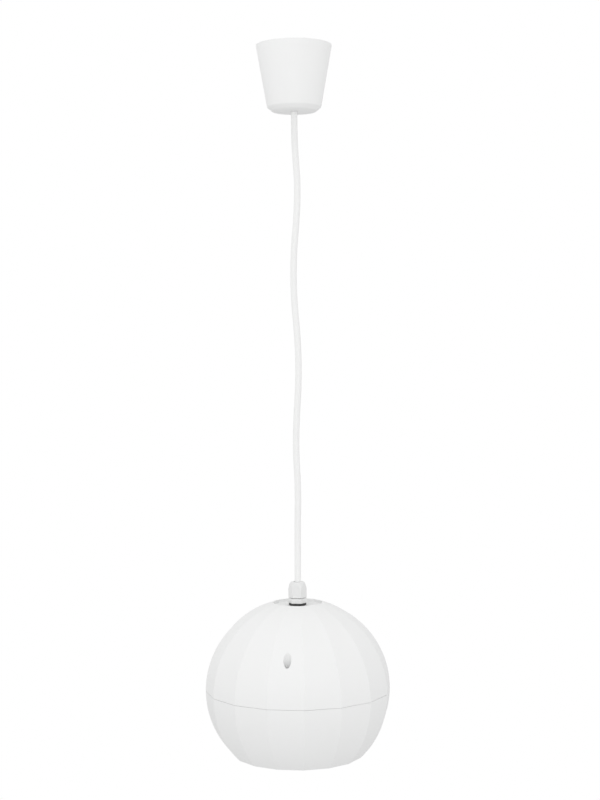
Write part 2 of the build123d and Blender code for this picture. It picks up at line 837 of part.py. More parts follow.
with BuildPart() as transformer_clamp:
    clamp_half = core_size[0] / 2 + clamp_sheet
    clamp_low = -core_size[2] / 2 - clamp_sheet
    with BuildSketch(transformer_plane):
        Rectangle(2 * clamp_half, core_size[2] + 2 * clamp_sheet)
        with Locations((0, clamp_sheet)):
            Rectangle(core_size[0], core_size[2] + 2 * clamp_sheet, mode=Mode.SUBTRACT)
        with Locations((0, core_size[2] / 2 + clamp_sheet / 2)):
            Rectangle(2 * clamp_half, clamp_sheet, mode=Mode.SUBTRACT)
        with Locations((0, core_size[2] / 2 - clamp_sheet / 2)):
            with GridLocations(transformer_screw_spacing, 0, 2, 1):
                Rectangle(clamp_ear, clamp_sheet)
    extrude(amount=core_size[1] / 2, both=True)
    with BuildSketch(level(transformer_top)):
        with Locations((0, transformer_y)):
            with GridLocations(transformer_screw_spacing, 0, 2, 1):
                round_hole(transformer_screw_radius, hole_clearance)
    extrude(amount=-clamp_sheet, mode=Mode.SUBTRACT)
transformer_clamp.part.label = "transformer_clamp"

transformer_screws = screws(
    underside(transformer_top - clamp_sheet),
    [(side * transformer_screw_spacing / 2, -transformer_y) for side in (-1, 1)],
    transformer_screw_radius,
    transformer_screw_length,
)
transformer_screws.part.label = "transformer_screws"

# Wadding pads at the two sides, each on one flat of the liner
with BuildPart() as one_pad:
    with BuildSketch(ball_section):
        (pad_low_radius, pad_low), (pad_high_radius, pad_high) = upper_liner[1:3]
        Polygon(
            (inner_radius - pad_depth, pad_low),
            (pad_low_radius, pad_low),
            (pad_high_radius, pad_high),
            (inner_radius - pad_depth, pad_high),
            align=None,
        )
    extrude(amount=pad_width / 2, both=True)
with BuildPart() as damping_pads:
    for start in (-pad_arc / 2, 180 - pad_arc / 2):
        with PolarLocations(0, pad_count // 2, start_angle=start, angular_range=pad_arc, endpoint=True):
            add(one_pad.part)
damping_pads.part.label = "damping_pads"

# Cord, hanging in the slight waves that its coil left in it
cord_route = [
    (0, 0, -30),
    (0, 0, -84),
    (4.0, -1.2, -150),
    (-4.1, 1.3, -229),
    (4.5, -1.0, -314),
    (-1.7, 0.9, -392),
    (0.3, 0.2, -481),
    (0, 0, seam_z + recess_floor - gland_stub_length - cord_tail),
]
with BuildPart() as cord:
    with BuildLine():
        cord_length = FilletPolyline(*cord_route, radius=bend_radii(cord_route)).length
    with BuildSketch(Plane.XY.offset(cord_route[0][2])):
        Circle(cord_radius)
    sweep()
cord.part.label = "cord"
cord_top = cord_route[0][2]
cord_end = cord_route[-1][2]

# The cord's two cores, up to the terminal block and down to the transformer
block_entry = block_low - insert_bore / 2
upper_cores = wires(
    [
        [
            (side * core_offset, 0, cord_top),
            (side * core_offset, 0, (cord_top + block_entry) / 2),
            (side * pole_spacing / 2, 0, block_entry),
            (side * pole_spacing / 2, 0, block_low + insert_width),
        ]
        for side in (-1, 1)
    ],
    core_radius,
)
upper_cores.part.label = "upper_cores"

coil_face = transformer_y - coil_depth / 2
input_height = seam_z + core_middle + core_window[1] / 2 - input_inset
lower_cores = wires(
    [
        [
            (side * core_offset, 0, cord_end - thread_clearance),
            (side * core_offset, 0, input_height),
            (side * core_offset, coil_face, input_height),
        ]
        for side in (-1, 1)
    ],
    core_radius,
)
lower_cores.part.label = "lower_cores"

# Two wires from the transformer to the driver
lead_x = tag_x + tag_size[0] - 2 * lead_radius
speaker_leads = wires(
    [
        [
            (lead_x, side * tag_spacing / 2, seam_z + tag_height),
            (lead_x, side * tag_spacing / 2, seam_z + core_middle + side * tag_spacing / 2),
            (coil_width / 3, coil_face - lead_radius, seam_z + core_middle + side * tag_spacing / 2),
        ]
        for side in (-1, 1)
    ],
    lead_radius,
)
speaker_leads.part.label = "speaker_leads"

print("cord radii", [round(radius) for radius in bend_radii(cord_route)])
print("cord length", round(cord_length, 1), "volume", round(cord.part.volume, 1))
print("section times length", round(pi * cord_radius**2 * cord_length, 1))

pieces = [
    ceiling_cup,
    ceiling_strap,
    cord_saddle,
    saddle_screws,
    terminal_block,
    terminal_inserts,
    terminal_screws,
    block_screw,
    upper_cores,
    cord,
    gland_nut,
    gland_seal,
    gland_body,
    gland_washer,
    gland_locknut,
    upper_shell,
    lower_shell,
    shell_screws,
    grille,
    driver_gasket,
    driver_basket,
    driver_screws,
    top_plate,
    magnet,
    pole_yoke,
    tag_strip,
    solder_tags,
    voice_coil,
    cone,
    dust_cap,
    surround,
    spider,
    transformer_core,
    transformer_coil,
    transformer_clamp,
    transformer_screws,
    lower_cores,
    speaker_leads,
    damping_pads,
]
for piece in pieces:
    export_step(piece.part, f"parts/{piece.part.label}.step")
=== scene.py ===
"""Looks of the pendant ball speaker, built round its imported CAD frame.

Blender works in metres, in the frame's own axes: the ceiling plane is z = 0 and +Z is up.
Shapes are written in millimetres and scaled by MM where they become meshes.
"""

from math import ceil, cos, hypot, pi, radians, sin, sqrt

import bmesh
import bpy
from mathutils import Matrix, Vector
from mathutils.geometry import delaunay_2d_cdt
from mathutils.kdtree import KDTree


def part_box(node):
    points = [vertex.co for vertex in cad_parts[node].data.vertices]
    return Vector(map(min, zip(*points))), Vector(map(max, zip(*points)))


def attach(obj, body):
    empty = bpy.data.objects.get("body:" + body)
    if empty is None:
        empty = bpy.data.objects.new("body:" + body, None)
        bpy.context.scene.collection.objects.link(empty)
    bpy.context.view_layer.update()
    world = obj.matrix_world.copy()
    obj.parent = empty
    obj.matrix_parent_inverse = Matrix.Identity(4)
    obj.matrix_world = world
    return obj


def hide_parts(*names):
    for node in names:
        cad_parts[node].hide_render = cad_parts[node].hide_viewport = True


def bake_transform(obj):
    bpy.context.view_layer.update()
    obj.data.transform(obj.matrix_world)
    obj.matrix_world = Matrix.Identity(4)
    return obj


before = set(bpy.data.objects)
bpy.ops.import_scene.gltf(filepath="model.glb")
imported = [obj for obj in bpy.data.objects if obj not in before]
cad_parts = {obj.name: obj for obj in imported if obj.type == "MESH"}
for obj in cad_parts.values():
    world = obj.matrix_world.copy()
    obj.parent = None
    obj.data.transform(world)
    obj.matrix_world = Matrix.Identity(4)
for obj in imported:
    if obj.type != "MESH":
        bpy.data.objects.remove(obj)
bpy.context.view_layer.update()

MM = 0.001
ON_AXIS = 1e-6
SAME_PLACE = 0.01 * MM
HOUSING = "housing"
MOVING = "cone_assembly"
SMOOTH_ANGLE = radians(34)
ROUND_STEPS = 96

# The photograph's camera, as its vanishing of the cup and of the ball gives it
PHOTO_LONG_SIDE = 800
FOCAL_PIXELS = 1523
SENSOR = 36
CAMERA_AZIMUTH = radians(7.2)
CAMERA_DISTANCE = 1.522
CAMERA_HEIGHT = -0.301
CAMERA_SIDESTEP = 0.0038
CAMERA_PITCH = radians(1.93)
CAMERA_ROLL = radians(0.39)


def corner_mm(node):
    """A CAD node's lowest and highest corners, in millimetres."""
    low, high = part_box(node)
    return low / MM, high / MM


def link(thing):
    bpy.context.scene.collection.objects.link(thing)


def add_camera():
    data = bpy.data.cameras.new("camera")
    data.sensor_width = SENSOR
    data.lens = FOCAL_PIXELS * SENSOR / PHOTO_LONG_SIDE
    camera = bpy.data.objects.new("camera", data)
    place = Vector((CAMERA_SIDESTEP, -CAMERA_DISTANCE, CAMERA_HEIGHT))
    turn = Matrix.Rotation(CAMERA_AZIMUTH, 4, "Z")
    tilt = Matrix.Rotation(pi / 2 - CAMERA_PITCH, 4, "X")
    roll = Matrix.Rotation(-CAMERA_ROLL, 4, "Z")
    camera.matrix_world = turn @ Matrix.Translation(place) @ tilt @ roll
    link(camera)
    bpy.context.scene.camera = camera


# Materials: noise in features to the metre, and the specular level of matt plastic
SLOW_DRIFT = 18
NOISE_ROUGHNESS = 0.55
ROUGHNESS_SPREAD = 0.06
LOW_SPECULAR = 0.3
MATERIALS = {}


class Nodes:
    """A small wrapper that makes a material's or the world's node tree readable."""

    def __init__(self, owner):
        owner.use_nodes = True
        self.tree = owner.node_tree
        self.tree.nodes.clear()

    def add(self, kind, **inputs):
        """A node of that type; an input is given a value or another node's output."""
        node = self.tree.nodes.new(kind)
        for name, value in inputs.items():
            self.feed(node, name.replace("_", " "), value)
        return node

    def feed(self, node, name, value):
        socket = next(s for s in node.inputs if s.name == name and s.enabled)
        if isinstance(value, bpy.types.NodeSocket):
            self.tree.links.new(value, socket)
        else:
            socket.default_value = value

    def noise(self, scale, detail):
        """Grey noise with that many features to the metre."""
        place = self.add("ShaderNodeTexCoord").outputs["Object"]
        node = self.add(
            "ShaderNodeTexNoise", Vector=place, Scale=scale, Detail=detail, Roughness=NOISE_ROUGHNESS
        )
        return node.outputs["Fac"]

    def spread(self, value, low, high):
        """A 0 to 1 value mapped to a narrower range."""
        node = self.add("ShaderNodeMapRange", Value=value, To_Min=low, To_Max=high)
        return node.outputs["Result"]

    def blend_colours(self, factor, first, second):
        node = self.tree.nodes.new("ShaderNodeMix")
        node.data_type = "RGBA"
        self.feed(node, "Factor", factor)
        self.feed(node, "A", (*first, 1.0))
        self.feed(node, "B", (*second, 1.0))
        return next(s for s in node.outputs if s.type == "RGBA" and s.enabled)

    def largest(self, first, second):
        node = self.tree.nodes.new("ShaderNodeMath")
        node.operation = "MAXIMUM"
        self.tree.links.new(first, node.inputs[0])
        self.tree.links.new(second, node.inputs[1])
        return node.outputs[0]

    def mix_shaders(self, factor, first, second):
        node = self.add("ShaderNodeMixShader", Fac=factor)
        self.tree.links.new(first.outputs[0], node.inputs[1])
        self.tree.links.new(second.outputs[0], node.inputs[2])
        return node.outputs[0]


def add_look(name, colour, shade, roughness, grain, depth, metallic=0.0, drift=SLOW_DRIFT, **shader):
    """A painted, moulded or metal surface: tone that drifts from colour to shade, roughness and grain."""
    material = bpy.data.materials.new(name)
    nodes = Nodes(material)
    slow = nodes.noise(drift, detail=3.0)
    fine = nodes.noise(grain, detail=2.0)
    base = nodes.blend_colours(nodes.spread(slow, 0.0, 1.0), colour, shade)
    bump = nodes.add("ShaderNodeBump", Height=fine, Distance=depth * MM, Strength=1.0)
    principled = nodes.add(
        "ShaderNodeBsdfPrincipled",
        Base_Color=base,
        Metallic=metallic,
        Roughness=nodes.spread(slow, roughness - ROUGHNESS_SPREAD, roughness + ROUGHNESS_SPREAD),
        Normal=bump.outputs["Normal"],
        **shader,
    )
    nodes.add("ShaderNodeOutputMaterial", Surface=principled.outputs["BSDF"])
    MATERIALS[name] = material


# Colour, the shade that it drifts to, roughness, grains to the metre, grain depth in millimetres
add_look(
    "shell_white", (0.875, 0.878, 0.876), (0.85, 0.853, 0.851), 0.64, 2600, 0.035,
    Specular_IOR_Level=LOW_SPECULAR,
)
add_look(
    "cup_white", (0.893, 0.896, 0.894), (0.87, 0.873, 0.871), 0.5, 1800, 0.02,
    Specular_IOR_Level=LOW_SPECULAR,
)
add_look("cord_white", (0.88, 0.882, 0.878), (0.86, 0.862, 0.857), 0.34, 420, 0.05)
add_look("gland_white", (0.79, 0.793, 0.79), (0.765, 0.768, 0.765), 0.38, 1500, 0.015)
add_look("grille_white", (0.80, 0.805, 0.80), (0.76, 0.765, 0.76), 0.38, 3200, 0.015)
add_look("black_rubber", (0.018, 0.018, 0.019), (0.035, 0.035, 0.036), 0.62, 1400, 0.03)
add_look("foam_black", (0.02, 0.02, 0.02), (0.06, 0.06, 0.06), 0.9, 1900, 0.25)
add_look("zinc", (0.66, 0.67, 0.68), (0.48, 0.50, 0.54), 0.34, 900, 0.015, metallic=1.0, drift=60)
add_look("plate_steel", (0.42, 0.42, 0.43), (0.30, 0.30, 0.31), 0.38, 700, 0.02, metallic=1.0)
add_look("laminations", (0.20, 0.20, 0.22), (0.12, 0.11, 0.11), 0.5, 1600, 0.05, metallic=0.8)
add_look("brass", (0.76, 0.58, 0.27), (0.60, 0.42, 0.17), 0.32, 1100, 0.02, metallic=1.0, drift=90)
add_look("copper", (0.72, 0.34, 0.17), (0.50, 0.20, 0.10), 0.35, 2500, 0.05, metallic=1.0, drift=90)
add_look("block_plastic", (0.72, 0.71, 0.66), (0.66, 0.64, 0.58), 0.3, 700, 0.02)
add_look("core_red", (0.42, 0.04, 0.035), (0.33, 0.03, 0.03), 0.36, 600, 0.02)
add_look("basket_black", (0.022, 0.022, 0.023), (0.05, 0.05, 0.05), 0.45, 1500, 0.03)
add_look("ferrite", (0.07, 0.07, 0.075), (0.13, 0.13, 0.13), 0.7, 900, 0.08)
add_look("paper_black", (0.018, 0.018, 0.019), (0.045, 0.044, 0.042), 0.78, 1200, 0.12)
add_look("spider_cloth", (0.50, 0.36, 0.15), (0.40, 0.27, 0.10), 0.8, 1600, 0.15)
add_look("tag_board", (0.27, 0.14, 0.06), (0.20, 0.10, 0.04), 0.6, 800, 0.05)
add_look("coil_tape", (0.78, 0.58, 0.10), (0.70, 0.50, 0.07), 0.3, 500, 0.03)
add_look("wadding", (0.74, 0.74, 0.72), (0.62, 0.62, 0.60), 0.95, 500, 0.8)

CAD_LOOKS = {
    "upper_shell": "shell_white",
    "lower_shell": "shell_white",
    "gland_body": "gland_white",
    "gland_locknut": "gland_white",
    "gland_seal": "black_rubber",
    "ceiling_strap": "zinc",
    "cord_saddle": "zinc",
    "transformer_clamp": "zinc",
    "terminal_screws": "zinc",
    "terminal_inserts": "brass",
    "terminal_block": "block_plastic",
    "upper_cores": "core_red",
    "lower_cores": "core_red",
    "speaker_leads": "core_red",
    "driver_basket": "basket_black",
    "top_plate": "plate_steel",
    "pole_yoke": "plate_steel",
    "magnet": "ferrite",
    "voice_coil": "copper",
    "tag_strip": "tag_board",
    "solder_tags": "brass",
    "transformer_core": "laminations",
    "transformer_coil": "coil_tape",
}


def dress_cad_nodes():
    """Materials for the CAD nodes that stay as they are."""
    for node, look in CAD_LOOKS.items():
        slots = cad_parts[node].data.materials
        slots.clear()
        slots.append(MATERIALS[look])


def new_object(name, mesh, look):
    piece = bpy.data.objects.new(name, mesh)
    link(piece)
    mesh.materials.append(MATERIALS[look])
    return piece


def add_piece(name, mesh, look, body, node):
    """A piece that rides on a body in place of a CAD node."""
    piece = new_object(name, mesh, look)
    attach(piece, body)
    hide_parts(node)
    return piece


def add_flexible_ring(name, mesh, look, node):
    """A ring in place of a CAD node, its place baked into its mesh and tied to no body."""
    piece = new_object(name, mesh, look)
    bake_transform(piece)
    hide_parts(node)
    return piece


def smooth(mesh, angle=SMOOTH_ANGLE):
    """Smooth shading with crisp edges where faces meet at more than the angle."""
    mesh.shade_smooth()
    mesh.set_sharp_from_angle(angle=angle)
    return mesh


def to_mesh(shape, name):
    """The mesh of a shape that is complete."""
    mesh = bpy.data.meshes.new(name)
    shape.to_mesh(mesh)
    shape.free()
    return mesh


def full_turn(steps):
    """The angles of that many steps round the Z axis."""
    return [2 * pi * step / steps for step in range(steps)]


def add_ring(shape, radii, height):
    """A ring of vertices about the Z axis, one for each radius, in millimetres."""
    return [
        shape.verts.new((radius * cos(turn) * MM, radius * sin(turn) * MM, height * MM))
        for radius, turn in zip(radii, full_turn(len(radii)))
    ]


def join_rings(shape, rings, closed=True):
    """Faces between neighbouring rings. A ring on the axis is one vertex, repeated."""
    following = rings[1:] + rings[:1] if closed else rings[1:]
    for first, second in zip(rings, following):
        for step in range(len(first)):
            after = (step + 1) % len(first)
            around = [first[step], first[after], second[after], second[step]]
            corners = [vertex for i, vertex in enumerate(around) if vertex not in around[:i]]
            if len(corners) > 2:
                shape.faces.new(corners)


def lathe(name, profile, steps=ROUND_STEPS, closed=True):
    """A mesh turned about the Z axis from (radius, height) points in millimetres."""
    shape = bmesh.new()
    rings = []
    for radius, height in profile:
        if radius < ON_AXIS:
            rings.append([shape.verts.new((0, 0, height * MM))] * steps)
        else:
            rings.append(add_ring(shape, [radius] * steps, height))
    join_rings(shape, rings, closed)
    bmesh.ops.recalc_face_normals(shape, faces=shape.faces)
    return smooth(to_mesh(shape, name))


def bend(start, pull, end, count):
    """Points of a smooth bend from start to end that leaves and arrives towards the pull point."""
    steps = [i / count for i in range(count + 1)]
    return [
        tuple((1 - t) ** 2 * a + 2 * t * (1 - t) * b + t**2 * c for a, b, c in zip(start, pull, end))
        for t in steps
    ]


def shifted(point, outward, upward):
    """A profile point moved outward and upward."""
    return point[0] + outward, point[1] + upward


# Cord: the route's control points in millimetres, and the radius in metres
CORD_RADIUS = 3.25 * MM
CORD_ROUTE = [
    (0, 0, -30),
    (-0.3, 0, -84),
    (0.8, -0.3, -108),
    (3.7, -0.5, -150),
    (-3.8, 0.5, -229),
    (4.2, -0.3, -314),
    (-1.4, 0.5, -392),
    (1.4, 0.6, -440),
    (0.5, 0.2, -481),
    (0.5, 0.1, -530),
    (0, 0, -569.83),
]


def add_cord():
    data = bpy.data.curves.new("cord", "CURVE")
    data.dimensions = "3D"
    data.bevel_depth = CORD_RADIUS
    data.bevel_resolution = 8
    data.resolution_u = 32
    data.use_fill_caps = True
    spline = data.splines.new("NURBS")
    spline.points.add(len(CORD_ROUTE) - 1)
    for point, place in zip(spline.points, CORD_ROUTE):
        point.co = (*(value * MM for value in place), 1.0)
    spline.order_u = 3
    spline.use_endpoint_u = True
    cord = bpy.data.objects.new("hanging_cord", data)
    link(cord)
    data.materials.append(MATERIALS["cord_white"])
    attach(cord, HOUSING)
    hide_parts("cord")


# Ceiling cup: the edge is the top of the chamfer at its bottom, and the foot is the chamfer's end
CUP_STEPS = 128
CUP_WALL = 2.2
CUP_HOLE_RADIUS = 3.75
CUP_EDGE_RADIUS = 27.0
CUP_EDGE_RISE = 4.3
CUP_FOOT_RADIUS = 22.9
CUP_FOOT_RISE = 0.6


def add_cup():
    """The ceiling cup: a thin tapered bucket with a small rim and a soft chamfer below."""
    low, high = corner_mm("ceiling_cup")
    floor, rim, inner_rim = low.z, (high.x, 0), (high.x - CUP_WALL, 0)
    edge, foot = (CUP_EDGE_RADIUS, floor + CUP_EDGE_RISE), (CUP_FOOT_RADIUS, floor + CUP_FOOT_RISE)
    inner_edge = shifted(edge, -CUP_WALL, 0)
    profile = [
        (CUP_HOLE_RADIUS, floor),
        (CUP_HOLE_RADIUS, floor + CUP_WALL),
        (CUP_FOOT_RADIUS - CUP_WALL, floor + CUP_WALL),
        *bend(shifted(inner_edge, -0.7, -0.7), inner_edge, shifted(inner_edge, 0.1, 1.0), 4),
        shifted(inner_rim, 0, -0.6),
        shifted(inner_rim, 0.4, 0),
        shifted(rim, -0.6, 0),
        shifted(rim, -0.1, -0.2),
        shifted(rim, 0, -0.8),
        *bend(shifted(edge, 0.14, 0.8), edge, shifted(edge, -0.6, -0.6), 5),
        *bend(shifted(foot, 0.9, 0.95), foot, shifted(foot, -1.4, -CUP_FOOT_RISE), 6),
    ]
    mesh = lathe("ceiling_cup_shell", profile, CUP_STEPS)
    add_piece("ceiling_cup_shell", mesh, "cup_white", HOUSING, "ceiling_cup")


# Dome nut of the gland: its crown is (radius, drop below the top)
NUT_STEPS = 144
NUT_FLATS = 16.0
NUT_FOOT_RADIUS = 8.95
NUT_CROWN = [
    (9.3, 6.9), (9.0, 5.9), (8.7, 4.9), (8.4, 3.8), (8.15, 2.9), (7.85, 2.0),
    (7.4, 1.1), (6.8, 0.4), (6.2, 0.1), (5.6, 0.0),
]
NUT_MOUTH_RADIUS = 3.65
NUT_THREAD_RADIUS = 6.1
NUT_ROOF = 2.6
NUT_SMOOTH_ANGLE = radians(24)


def hexagon_reach(flats, turn):
    """The distance from a hexagon's centre to its edge, with corners on the X axis."""
    away = (turn + pi / 6) % (pi / 3) - pi / 6
    return flats / 2 / cos(pi / 6 - abs(away))


def add_gland_nut():
    """The dome nut: a hexagon cut by a rounded crown."""
    low, high = corner_mm("gland_nut")
    outline = [
        (NUT_FOOT_RADIUS, low.z),
        (NUT_CROWN[0][0], low.z + 0.5),
        *((radius, high.z - drop) for radius, drop in NUT_CROWN),
        (NUT_MOUTH_RADIUS, high.z),
        (NUT_MOUTH_RADIUS, high.z - NUT_ROOF),
        (NUT_THREAD_RADIUS, high.z - NUT_ROOF),
        (NUT_THREAD_RADIUS, low.z),
    ]
    flats = [hexagon_reach(NUT_FLATS, turn) for turn in full_turn(NUT_STEPS)]
    shape = bmesh.new()
    rings = [add_ring(shape, [min(radius, flat) for flat in flats], height) for radius, height in outline]
    join_rings(shape, rings)
    bmesh.ops.recalc_face_normals(shape, faces=shape.faces)
    mesh = smooth(to_mesh(shape, "gland_dome_nut"), NUT_SMOOTH_ANGLE)
    add_piece("gland_dome_nut", mesh, "gland_white", HOUSING, "gland_nut")


def add_washer():
    """The rubber washer under the gland, with soft outer edges."""
    low, high = corner_mm("gland_washer")
    inner, outer, soft = 6.15, high.x, 0.35
    profile = [
        (inner, low.z), (outer - soft, low.z), (outer, low.z + soft),
        (outer, high.z - soft), (outer - soft, high.z), (inner, high.z),
    ]
    add_piece("washer", lathe("washer", profile), "black_rubber", HOUSING, "gland_washer")


# Grille: a pan of sheet, and the staggered holes in its floor
GRILLE_STEPS = 128
GRILLE_SHEET = 0.8
GRILLE_BEND = 1.0
HOLE_RADIUS = 1.0
HOLE_PITCH = 3.0
HOLE_SIDES = 12
FIELD_RADIUS = 54.0
INSIDE_HOLE = 0.94
TRIANGLES_IN_LOOPS = 1
DELAUNAY_MERGE = 1e-4
NEARLY_LEVEL = 0.9


def hole_centres():
    """A staggered field of holes inside the field radius."""
    row_pitch = HOLE_PITCH * sqrt(3) / 2
    rows = ceil(FIELD_RADIUS / row_pitch)
    for row in range(-rows, rows + 1):
        y = row * row_pitch
        shift = (row % 2) * HOLE_PITCH / 2
        for column in range(-rows, rows + 1):
            x = column * HOLE_PITCH + shift
            if hypot(x, y) < FIELD_RADIUS - HOLE_RADIUS:
                yield x, y


def circle(radius, steps, centre=(0, 0)):
    return [(centre[0] + radius * cos(t), centre[1] + radius * sin(t)) for t in full_turn(steps)]


def add_perforated_disc(shape, radius, height):
    """A flat disc, triangulated between its holes."""
    points = circle(radius, GRILLE_STEPS)
    loops = [list(range(GRILLE_STEPS))]
    holes = list(hole_centres())
    nearest = KDTree(len(holes))
    for number, centre in enumerate(holes):
        nearest.insert((*centre, 0), number)
        loops.append(list(range(len(points), len(points) + HOLE_SIDES)))
        points += circle(HOLE_RADIUS, HOLE_SIDES, centre)
    nearest.balance()
    edges = [(a, b) for loop in loops for a, b in zip(loop, loop[1:] + loop[:1])]
    flat, _, faces, *_ = delaunay_2d_cdt(
        [Vector(point) for point in points], edges, [], TRIANGLES_IN_LOOPS, DELAUNAY_MERGE
    )
    verts = [shape.verts.new((point.x * MM, point.y * MM, height * MM)) for point in flat]
    for face in faces:
        middle = sum((flat[i] for i in face), Vector((0, 0))) / len(face)
        *_, distance = nearest.find(middle.to_3d())
        if distance > HOLE_RADIUS * INSIDE_HOLE:
            shape.faces.new([verts[i] for i in face])


def add_grille():
    """A pan of finely perforated sheet: a holed disc joined to its bent rim."""
    low, high = corner_mm("grille")
    rim, flat_radius = high.x, high.x - GRILLE_BEND
    corner = bend((flat_radius, low.z), (rim, low.z), (rim, low.z + GRILLE_BEND), 4)
    shape = bmesh.new()
    add_perforated_disc(shape, flat_radius, low.z)
    wall = [*corner, (rim, high.z)]
    rings = [add_ring(shape, [radius] * GRILLE_STEPS, height) for radius, height in wall]
    join_rings(shape, rings, closed=False)
    bmesh.ops.remove_doubles(shape, verts=shape.verts, dist=SAME_PLACE)
    bmesh.ops.recalc_face_normals(shape, faces=shape.faces)
    if next(face for face in shape.faces if abs(face.normal.z) > NEARLY_LEVEL).normal.z > 0:
        bmesh.ops.reverse_faces(shape, faces=shape.faces)
    mesh = smooth(to_mesh(shape, "perforated_grille"))
    piece = add_piece("perforated_grille", mesh, "grille_white", HOUSING, "grille")
    thickness = piece.modifiers.new("sheet", "SOLIDIFY")
    thickness.thickness = GRILLE_SHEET * MM
    thickness.offset = -1


def add_cone():
    """The paper cone, with its neck at the coil and a flat lip for the surround."""
    _, high = corner_mm("cone")
    neck, lip, depth, sheet = 9.4, 2.5, 13.7, 0.7
    outer, top, face = high.x, high.z, high.z - depth
    profile = [
        (neck, top), (outer - lip, face), (outer, face),
        (outer, face - sheet), (outer - lip, face - sheet), (neck, top - sheet),
    ]
    add_piece("paper_cone", lathe("paper_cone", profile), "paper_black", MOVING, "cone")


def add_dust_cap():
    """The domed paper cap over the coil."""
    low, high = corner_mm("dust_cap")
    edge, seat, crown, inner_crown = high.x, high.z, low.z, low.z + 0.5
    outside = bend((edge, seat), (edge * 0.62, crown), (0, crown), 10)
    inside = bend((0, inner_crown), (edge * 0.6, inner_crown), (edge - 0.6, seat), 10)
    mesh = lathe("round_dust_cap", outside + inside)
    add_piece("round_dust_cap", mesh, "paper_black", MOVING, "dust_cap")


def add_gasket():
    """The foam ring between the basket and the baffle."""
    low, high = corner_mm("driver_gasket")
    inner, outer = 46.2, high.x
    profile = [(inner, low.z), (outer, low.z), (outer, high.z), (inner, high.z)]
    add_piece("foam_gasket", lathe("foam_gasket", profile), "foam_black", HOUSING, "driver_gasket")


def add_surround():
    """The rubber roll between the basket and the cone."""
    low, high = corner_mm("surround")
    inner, bond, crest, mouth, outer = 37.0, 39.0, 41.6, 43.9, high.x
    sheet, rise_gap = 0.5, 0.35
    lip, valley = low.z + 0.6, low.z + sheet
    roll = bend((bond + 0.3, lip), (bond + 1.2, valley - 0.35), (crest, valley), 5)
    rise = bend((crest, valley), (mouth - 0.2, valley), (mouth, high.z), 8)
    top = [(inner, lip), (bond, lip), *roll, *rise[1:], (outer, high.z)]
    under = [
        (radius + (rise_gap if crest < radius < outer else 0), max(height - sheet, low.z))
        for radius, height in reversed(top)
    ]
    mesh = lathe("rubber_surround", top + under)
    add_flexible_ring("rubber_surround", mesh, "black_rubber", "surround")


def add_spider():
    """The pleated cloth ring that centres the coil."""
    low, high = corner_mm("spider")
    inner, outer, sheet = 9.4, high.x, 0.4
    folds, pleat, steps = 6, 0.35, 60
    fall = high.z - low.z - sheet
    top = []
    for step in range(steps + 1):
        along = step / steps
        wave = pleat * sin(2 * pi * folds * along) * sin(pi * along)
        top.append((inner + (outer - inner) * along, low.z + sheet + fall * along + wave))
    under = [(radius, height - sheet) for radius, height in reversed(top)]
    mesh = lathe("pleated_spider", top + under)
    add_flexible_ring("pleated_spider", mesh, "spider_cloth", "spider")


# Pan-head screws: the head's profile in shares of its radius and height, and its cross recess
PAN_RATIO = 1.8
PAN_HEIGHT = 2.0
PAN_STEPS = 24
PAN_PROFILE = [(0.96, 0), (1, 0.175), (0.97, 0.55), (0.84, 0.83), (0.6, 0.97), (0, 1)]
POINT_RATIO = 0.6
RECESS_LENGTH = 1.1
RECESS_WIDTH = 0.24
RECESS_DEPTH = 0.9
DOWN, UP, FRONT = Vector((0, 0, -1)), Vector((0, 0, 1)), Vector((0, -1, 0))


def pan_screw(shape, place, facing, radius, length):
    """Adds a screw whose head stands on the place and faces that way, and returns its recess's cutters."""
    head = radius * PAN_RATIO
    shank = [(0, -length), (radius * POINT_RATIO, -length), (radius, radius - length), (radius, 0)]
    profile = shank + [(head * out, PAN_HEIGHT * up) for out, up in PAN_PROFILE]
    move = Matrix.Translation(Vector(place) * MM) @ UP.rotation_difference(facing).to_matrix().to_4x4()
    mesh = lathe("screw_part", profile, PAN_STEPS, closed=False)
    mesh.transform(move)
    shape.from_mesh(mesh)
    bpy.data.meshes.remove(mesh)
    lift = Matrix.Translation((0, 0, PAN_HEIGHT * MM))
    size = (head * RECESS_LENGTH * MM, head * RECESS_WIDTH * MM, PAN_HEIGHT * RECESS_DEPTH * MM, 1)
    return [move @ Matrix.Rotation(angle, 4, "Z") @ lift @ Matrix.Diagonal(size) for angle in (0, pi / 2)]


def apply_modifiers(piece):
    graph = bpy.context.evaluated_depsgraph_get()
    made = bpy.data.meshes.new_from_object(piece.evaluated_get(graph))
    piece.modifiers.clear()
    piece.data = smooth(made)


def add_screws(name, node, places, facing, radius, length):
    """Screws of one kind as one piece, with their recesses cut."""
    shape, cutters = bmesh.new(), bmesh.new()
    for place in places:
        for matrix in pan_screw(shape, place, facing, radius, length):
            bmesh.ops.create_cube(cutters, size=1, matrix=matrix)
    piece = add_piece(name, smooth(to_mesh(shape, name)), "zinc", HOUSING, node)
    cutter = bpy.data.objects.new(name + "_recess", to_mesh(cutters, name + "_recess"))
    link(cutter)
    cut = piece.modifiers.new("recess", "BOOLEAN")
    cut.object = cutter
    cut.solver = "EXACT"
    cut.use_self = True
    apply_modifiers(piece)
    bpy.data.objects.remove(cutter)


# Distances of the screws from the axis, or to each side of it
BALL_SCREW_DISTANCE = 79.0
BASKET_SCREW_CIRCLE = 49.8
SADDLE_SCREW_SIDE = 7.7
BRACKET_SCREW_SIDE = 26.5
BRACKET_SCREW_BACK = 30.0
SIDES = (-1, 1)


